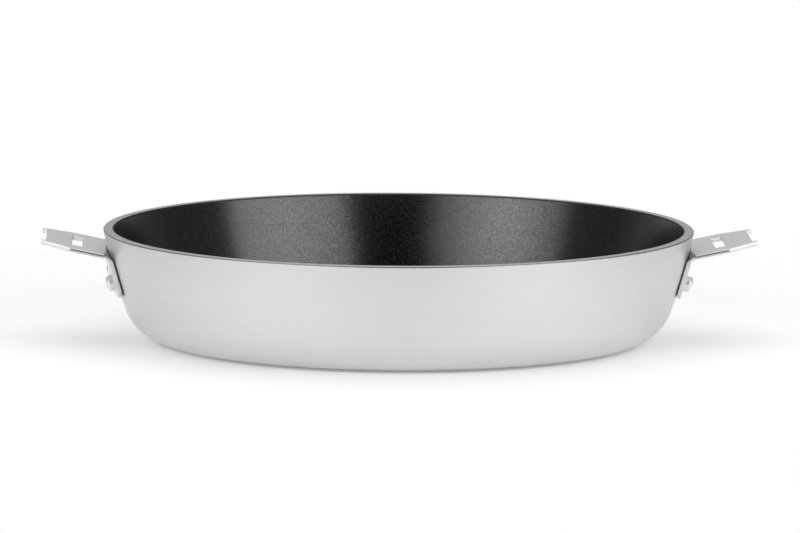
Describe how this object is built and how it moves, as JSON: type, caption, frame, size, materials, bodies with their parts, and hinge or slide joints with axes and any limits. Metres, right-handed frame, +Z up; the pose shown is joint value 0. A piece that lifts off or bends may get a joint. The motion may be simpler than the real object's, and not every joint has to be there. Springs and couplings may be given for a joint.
{
  "type": "frying pan",
  "caption": "Shallow round aluminium frying pan with a leaning wall, a black non-stick lining and a riveted steel bracket on each side that takes a clip-on grip.",
  "frame": {"origin": "the middle of the underside, on the surface that the pan stands on", "axes": "+Z is up out of the pan, +X points out through the right bracket, -X through the left one, and -Y is the side that the picture shows"},
  "size_m": [0.3386, 0.2798, 0.0522],
  "materials": {
    "turned_aluminium": "satin, fine turned lines around the wall and base",
    "nonstick": "black non-stick film with a fine metallic speckle",
    "bracket_steel": "satin stainless sheet with bright rounded edges",
    "rivet_aluminium": "satin, lightly tumbled"
  },
  "bodies": {
    "root": {"pan_body": "turned_aluminium", "nonstick_coating": "nonstick", "left_bracket": "bracket_steel", "right_bracket": "bracket_steel", "left_front_rivet": "rivet_aluminium", "left_rear_rivet": "rivet_aluminium", "right_front_rivet": "rivet_aluminium", "right_rear_rivet": "rivet_aluminium"}
  },
  "joints": []
}
